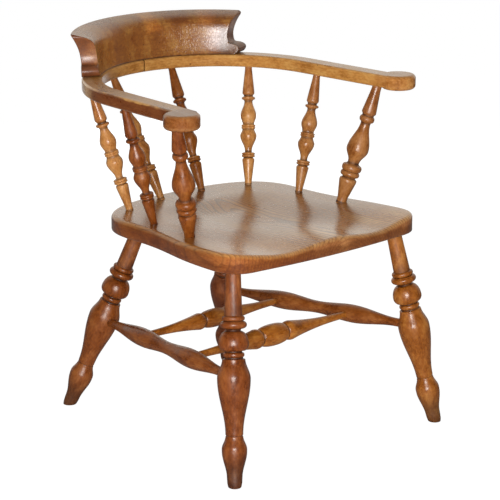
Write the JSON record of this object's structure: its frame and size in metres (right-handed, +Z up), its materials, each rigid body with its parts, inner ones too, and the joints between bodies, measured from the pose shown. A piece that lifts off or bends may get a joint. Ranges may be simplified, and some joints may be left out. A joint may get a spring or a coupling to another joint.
{
  "type": "captains chair",
  "caption": "Low bow-backed captains chair in polished wood: saddled board seat, turned legs, stretchers and spindles, bent arms with round hands and a scooped crest rail.",
  "frame": {"origin": "on the floor, under the middle of the chair's box", "axes": "+Z up from the floor, the front towards -Y, +X to the right seen from the front"},
  "size_m": [0.6318, 0.6542, 0.7793],
  "materials": {
    "seat_wood": "satin",
    "turned_wood": "polished",
    "bow_wood": "polished",
    "crest_wood": "polished",
    "screw_steel": "dull"
  },
  "bodies": {
    "root": {"seat": "seat_wood", "arm_left": "bow_wood", "arm_right": "bow_wood", "crest_rail": "crest_wood", "crest_screw_1": "screw_steel", "crest_screw_2": "screw_steel", "crest_screw_3": "screw_steel", "crest_screw_4": "screw_steel", "leg_front_left": "turned_wood", "leg_front_right": "turned_wood", "leg_back_left": "turned_wood", "leg_back_right": "turned_wood", "arm_post_left": "turned_wood", "arm_post_right": "turned_wood", "spindle_left_1": "turned_wood", "spindle_left_2": "turned_wood", "spindle_left_3": "turned_wood", "spindle_right_1": "turned_wood", "spindle_right_2": "turned_wood", "spindle_right_3": "turned_wood", "stretcher_side_left": "turned_wood", "stretcher_side_right": "turned_wood", "stretcher_cross_front": "turned_wood", "stretcher_cross_back": "turned_wood"}
  },
  "joints": []
}
